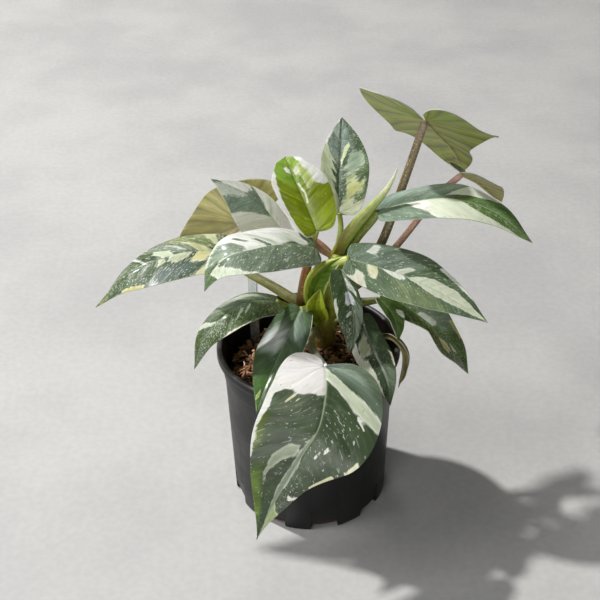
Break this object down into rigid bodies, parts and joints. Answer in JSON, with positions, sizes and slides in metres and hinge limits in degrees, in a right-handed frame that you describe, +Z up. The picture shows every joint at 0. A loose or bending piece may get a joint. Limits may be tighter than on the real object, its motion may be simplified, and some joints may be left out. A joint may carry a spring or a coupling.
{
  "type": "potted plant",
  "caption": "Climbing philodendron with large white-variegated leaves on long stalks, growing from a round plastic nursery pot filled with bark mix, with a short clear support stake.",
  "frame": {"origin": "centre of the flat underside of the pot, on the surface that the pot stands on", "axes": "+Z up; -Y towards the side that the big hanging front leaf falls over; +X to the right of it"},
  "size_m": [0.3415, 0.2787, 0.3433],
  "materials": {
    "pot": "satin black polypropylene",
    "soil": "rough bark and coco chips",
    "stake": "clear, glossy",
    "stem": "satin olive",
    "sheath": "satin lime",
    "spear": "satin lime with a red edge",
    "leaf": "satin dark green with white, mint and cream sectors",
    "leaf_young": "satin lime green with white sectors",
    "petiole": "satin olive to reddish brown"
  },
  "bodies": {
    "root": {"pot": "pot", "soil": "soil", "support_stake": "stake", "stem": "stem", "sheath_right": "sheath", "sheath_crown": "sheath", "new_leaf_spear": "spear", "leaf_front": "leaf", "petiole_front": "petiole", "leaf_front_left": "leaf", "petiole_front_left": "petiole", "leaf_left_low": "leaf", "petiole_left_low": "petiole", "leaf_left_up": "leaf", "petiole_left_up": "petiole", "leaf_far_left": "leaf", "petiole_far_left": "petiole", "leaf_up_left": "leaf", "petiole_up_left": "petiole", "leaf_rear_left": "leaf", "petiole_rear_left": "petiole", "leaf_young": "leaf_young", "petiole_young": "petiole", "leaf_top": "leaf", "petiole_top": "petiole", "leaf_right_up": "leaf", "petiole_right_up": "petiole", "leaf_right": "leaf", "petiole_right": "petiole", "leaf_right_low": "leaf", "petiole_right_low": "petiole", "leaf_under_right": "leaf", "petiole_under_right": "petiole", "leaf_centre": "leaf", "petiole_centre": "petiole", "leaf_front_right": "leaf", "petiole_front_right": "petiole", "leaf_thin_right": "leaf", "petiole_thin_right": "petiole", "leaf_top_right": "leaf", "petiole_top_right": "petiole", "leaf_rear_right": "leaf", "petiole_rear_right": "petiole"}
  },
  "joints": []
}
